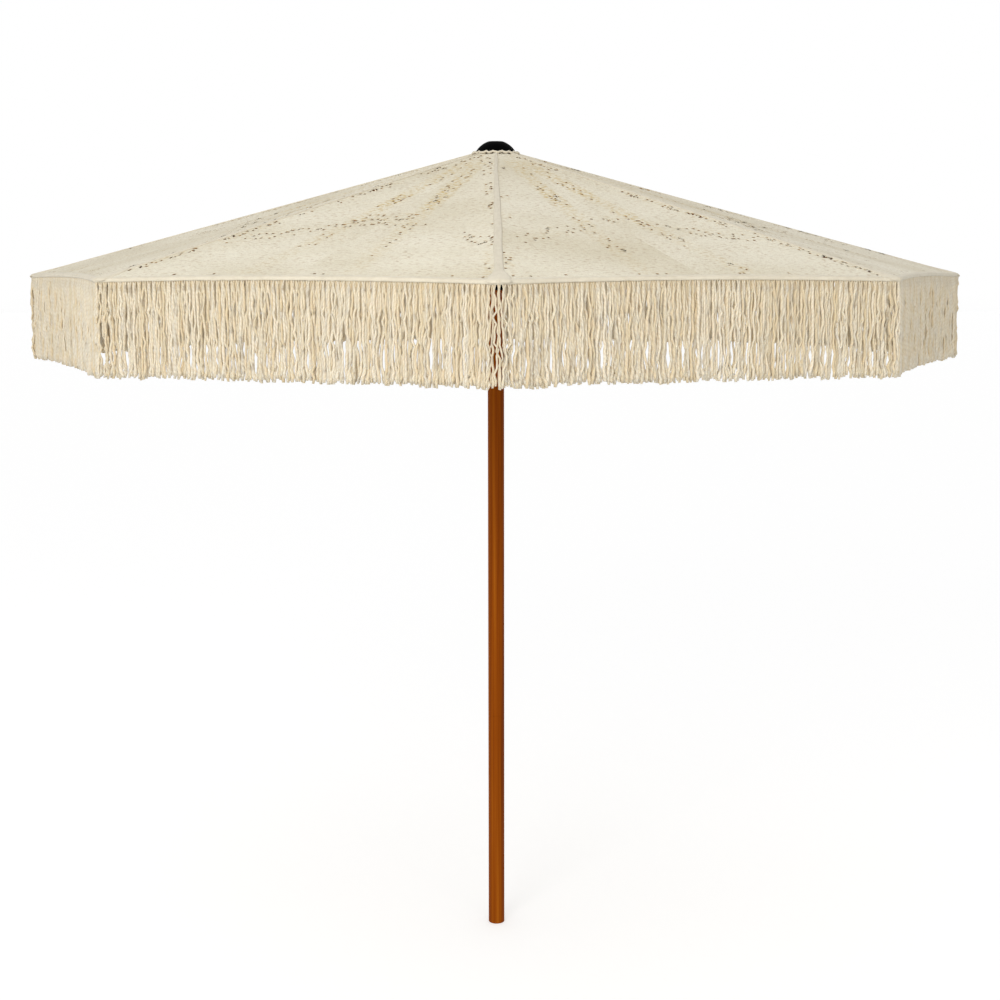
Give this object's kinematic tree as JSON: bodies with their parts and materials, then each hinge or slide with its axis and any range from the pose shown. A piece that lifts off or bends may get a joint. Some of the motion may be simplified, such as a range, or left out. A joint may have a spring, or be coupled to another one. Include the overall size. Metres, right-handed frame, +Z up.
{
  "type": "garden parasol",
  "caption": "Round folding garden parasol with a straight wooden pole, a domed cap, wooden ribs and struts, a lace cotton canopy and a long cord fringe.",
  "frame": {"origin": "centre of the bottom face of the pole's foot", "axes": "+Z up along the pole, -Y towards the rib at the front, +X to the right"},
  "size_m": [2.7, 2.7, 2.346],
  "materials": {
    "oiled_teak": "oiled straight-grained teak, satin",
    "canopy_cotton": "natural cotton lace knit, matte",
    "fringe_cotton": "twisted natural cotton cord, matte",
    "black_plastic": "moulded black plastic, satin",
    "steel": "zinc-plated steel"
  },
  "bodies": {
    "pole": {"pole_lower": "oiled_teak", "pole_upper": "oiled_teak", "coupling_stud": "steel", "coupling_insert": "steel", "crown_hub": "oiled_teak", "crown_pins": "steel", "crown_cap": "black_plastic", "cap_stud": "steel"},
    "rib_1": {"rib_1": "oiled_teak", "rib_tip_1": "black_plastic", "strut_bracket_1": "steel", "canopy_panel_1": "canopy_cotton"},
    "rib_2": {"rib_2": "oiled_teak", "rib_tip_2": "black_plastic", "strut_bracket_2": "steel", "canopy_panel_2": "canopy_cotton"},
    "rib_3": {"rib_3": "oiled_teak", "rib_tip_3": "black_plastic", "strut_bracket_3": "steel", "canopy_panel_3": "canopy_cotton"},
    "rib_4": {"rib_4": "oiled_teak", "rib_tip_4": "black_plastic", "strut_bracket_4": "steel", "canopy_panel_4": "canopy_cotton"},
    "rib_5": {"rib_5": "oiled_teak", "rib_tip_5": "black_plastic", "strut_bracket_5": "steel", "canopy_panel_5": "canopy_cotton"},
    "rib_6": {"rib_6": "oiled_teak", "rib_tip_6": "black_plastic", "strut_bracket_6": "steel", "canopy_panel_6": "canopy_cotton"},
    "rib_7": {"rib_7": "oiled_teak", "rib_tip_7": "black_plastic", "strut_bracket_7": "steel", "canopy_panel_7": "canopy_cotton"},
    "rib_8": {"rib_8": "oiled_teak", "rib_tip_8": "black_plastic", "strut_bracket_8": "steel", "canopy_panel_8": "canopy_cotton"},
    "strut_1": {"strut_1": "oiled_teak"},
    "strut_2": {"strut_2": "oiled_teak"},
    "strut_3": {"strut_3": "oiled_teak"},
    "strut_4": {"strut_4": "oiled_teak"},
    "strut_5": {"strut_5": "oiled_teak"},
    "strut_6": {"strut_6": "oiled_teak"},
    "strut_7": {"strut_7": "oiled_teak"},
    "strut_8": {"strut_8": "oiled_teak"},
    "fringe_1": {"fringe_1": "fringe_cotton"},
    "fringe_2": {"fringe_2": "fringe_cotton"},
    "fringe_3": {"fringe_3": "fringe_cotton"},
    "fringe_4": {"fringe_4": "fringe_cotton"},
    "fringe_5": {"fringe_5": "fringe_cotton"},
    "fringe_6": {"fringe_6": "fringe_cotton"},
    "fringe_7": {"fringe_7": "fringe_cotton"},
    "fringe_8": {"fringe_8": "fringe_cotton"},
    "runner": {"runner_hub": "oiled_teak", "runner_pins": "steel"},
    "lock_pin": {"lock_pin": "steel", "pin_ring": "steel"}
  },
  "joints": [
    {"name": "canopy_fold", "type": "hinge", "parent": "pole", "child": "rib_1", "pos_m": [0, -0.046, 2.2982], "axis": [1, 0, 0], "range_deg": [0, 71], "deforming": ["canopy_panel_1"]},
    {"name": "rib_2_fold", "type": "hinge", "parent": "pole", "child": "rib_2", "pos_m": [0.03253, -0.03253, 2.2982], "axis": [0.7071, 0.7071, 0], "range_deg": [0, 71], "deforming": ["canopy_panel_2"]},
    {"name": "rib_3_fold", "type": "hinge", "parent": "pole", "child": "rib_3", "pos_m": [0.046, 0, 2.2982], "axis": [0, 1, 0], "range_deg": [0, 71], "deforming": ["canopy_panel_3"]},
    {"name": "rib_4_fold", "type": "hinge", "parent": "pole", "child": "rib_4", "pos_m": [0.03253, 0.03253, 2.2982], "axis": [-0.7071, 0.7071, 0], "range_deg": [0, 71], "deforming": ["canopy_panel_4"]},
    {"name": "rib_5_fold", "type": "hinge", "parent": "pole", "child": "rib_5", "pos_m": [0, 0.046, 2.2982], "axis": [-1, 0, 0], "range_deg": [0, 71], "deforming": ["canopy_panel_5"]},
    {"name": "rib_6_fold", "type": "hinge", "parent": "pole", "child": "rib_6", "pos_m": [-0.03253, 0.03253, 2.2982], "axis": [-0.7071, -0.7071, 0], "range_deg": [0, 71], "deforming": ["canopy_panel_6"]},
    {"name": "rib_7_fold", "type": "hinge", "parent": "pole", "child": "rib_7", "pos_m": [-0.046, 0, 2.2982], "axis": [0, -1, 0], "range_deg": [0, 71], "deforming": ["canopy_panel_7"]},
    {"name": "rib_8_fold", "type": "hinge", "parent": "pole", "child": "rib_8", "pos_m": [-0.03253, -0.03253, 2.2982], "axis": [0.7071, -0.7071, 0], "range_deg": [0, 71], "deforming": ["canopy_panel_8"]},
    {"name": "strut_1_pivot", "type": "hinge", "parent": "rib_1", "child": "strut_1", "pos_m": [0, -0.5221, 2.14326], "axis": [1, 0, 0], "range_deg": [-142, 0]},
    {"name": "strut_2_pivot", "type": "hinge", "parent": "rib_2", "child": "strut_2", "pos_m": [0.36918, -0.36918, 2.14326], "axis": [0.7071, 0.7071, 0], "range_deg": [-142, 0]},
    {"name": "strut_3_pivot", "type": "hinge", "parent": "rib_3", "child": "strut_3", "pos_m": [0.5221, 0, 2.14326], "axis": [0, 1, 0], "range_deg": [-142, 0]},
    {"name": "strut_4_pivot", "type": "hinge", "parent": "rib_4", "child": "strut_4", "pos_m": [0.36918, 0.36918, 2.14326], "axis": [-0.7071, 0.7071, 0], "range_deg": [-142, 0]},
    {"name": "strut_5_pivot", "type": "hinge", "parent": "rib_5", "child": "strut_5", "pos_m": [0, 0.5221, 2.14326], "axis": [-1, 0, 0], "range_deg": [-142, 0]},
    {"name": "strut_6_pivot", "type": "hinge", "parent": "rib_6", "child": "strut_6", "pos_m": [-0.36918, 0.36918, 2.14326], "axis": [-0.7071, -0.7071, 0], "range_deg": [-142, 0]},
    {"name": "strut_7_pivot", "type": "hinge", "parent": "rib_7", "child": "strut_7", "pos_m": [-0.5221, 0, 2.14326], "axis": [0, -1, 0], "range_deg": [-142, 0]},
    {"name": "strut_8_pivot", "type": "hinge", "parent": "rib_8", "child": "strut_8", "pos_m": [-0.36918, -0.36918, 2.14326], "axis": [0.7071, -0.7071, 0], "range_deg": [-142, 0]},
    {"name": "fringe_1_hang", "type": "hinge", "parent": "rib_1", "child": "fringe_1", "pos_m": [0, -1.344, 1.961], "axis": [1, 0, 0], "range_deg": [-71, 0], "deforming": ["fringe_1"]},
    {"name": "fringe_2_hang", "type": "hinge", "parent": "rib_2", "child": "fringe_2", "pos_m": [0.95035, -0.95035, 1.961], "axis": [0.7071, 0.7071, 0], "range_deg": [-71, 0], "deforming": ["fringe_2"]},
    {"name": "fringe_3_hang", "type": "hinge", "parent": "rib_3", "child": "fringe_3", "pos_m": [1.344, 0, 1.961], "axis": [0, 1, 0], "range_deg": [-71, 0], "deforming": ["fringe_3"]},
    {"name": "fringe_4_hang", "type": "hinge", "parent": "rib_4", "child": "fringe_4", "pos_m": [0.95035, 0.95035, 1.961], "axis": [-0.7071, 0.7071, 0], "range_deg": [-71, 0], "deforming": ["fringe_4"]},
    {"name": "fringe_5_hang", "type": "hinge", "parent": "rib_5", "child": "fringe_5", "pos_m": [0, 1.344, 1.961], "axis": [-1, 0, 0], "range_deg": [-71, 0], "deforming": ["fringe_5"]},
    {"name": "fringe_6_hang", "type": "hinge", "parent": "rib_6", "child": "fringe_6", "pos_m": [-0.95035, 0.95035, 1.961], "axis": [-0.7071, -0.7071, 0], "range_deg": [-71, 0], "deforming": ["fringe_6"]},
    {"name": "fringe_7_hang", "type": "hinge", "parent": "rib_7", "child": "fringe_7", "pos_m": [-1.344, 0, 1.961], "axis": [0, -1, 0], "range_deg": [-71, 0], "deforming": ["fringe_7"]},
    {"name": "fringe_8_hang", "type": "hinge", "parent": "rib_8", "child": "fringe_8", "pos_m": [-0.95035, -0.95035, 1.961], "axis": [0.7071, -0.7071, 0], "range_deg": [-71, 0], "deforming": ["fringe_8"]},
    {"name": "runner_pivot", "type": "hinge", "parent": "strut_1", "child": "runner", "pos_m": [0, -0.046, 1.98832], "axis": [1, 0, 0], "range_deg": [0, 71]},
    {"name": "lock_pin_pull", "type": "slide", "parent": "pole", "child": "lock_pin", "axis": [0.3827, 0.9239, 0], "range_m": [0, 0.08]}
  ],
  "couplings": [
    {"joint": "rib_2_fold", "follows": "canopy_fold", "ratio": 1},
    {"joint": "rib_3_fold", "follows": "canopy_fold", "ratio": 1},
    {"joint": "rib_4_fold", "follows": "canopy_fold", "ratio": 1},
    {"joint": "rib_5_fold", "follows": "canopy_fold", "ratio": 1},
    {"joint": "rib_6_fold", "follows": "canopy_fold", "ratio": 1},
    {"joint": "rib_7_fold", "follows": "canopy_fold", "ratio": 1},
    {"joint": "rib_8_fold", "follows": "canopy_fold", "ratio": 1},
    {"joint": "strut_1_pivot", "follows": "canopy_fold", "ratio": -2},
    {"joint": "strut_2_pivot", "follows": "canopy_fold", "ratio": -2},
    {"joint": "strut_3_pivot", "follows": "canopy_fold", "ratio": -2},
    {"joint": "strut_4_pivot", "follows": "canopy_fold", "ratio": -2},
    {"joint": "strut_5_pivot", "follows": "canopy_fold", "ratio": -2},
    {"joint": "strut_6_pivot", "follows": "canopy_fold", "ratio": -2},
    {"joint": "strut_7_pivot", "follows": "canopy_fold", "ratio": -2},
    {"joint": "strut_8_pivot", "follows": "canopy_fold", "ratio": -2},
    {"joint": "fringe_1_hang", "follows": "canopy_fold", "ratio": -1},
    {"joint": "fringe_2_hang", "follows": "canopy_fold", "ratio": -1},
    {"joint": "fringe_3_hang", "follows": "canopy_fold", "ratio": -1},
    {"joint": "fringe_4_hang", "follows": "canopy_fold", "ratio": -1},
    {"joint": "fringe_5_hang", "follows": "canopy_fold", "ratio": -1},
    {"joint": "fringe_6_hang", "follows": "canopy_fold", "ratio": -1},
    {"joint": "fringe_7_hang", "follows": "canopy_fold", "ratio": -1},
    {"joint": "fringe_8_hang", "follows": "canopy_fold", "ratio": -1},
    {"joint": "runner_pivot", "follows": "canopy_fold", "ratio": 1}
  ]
}
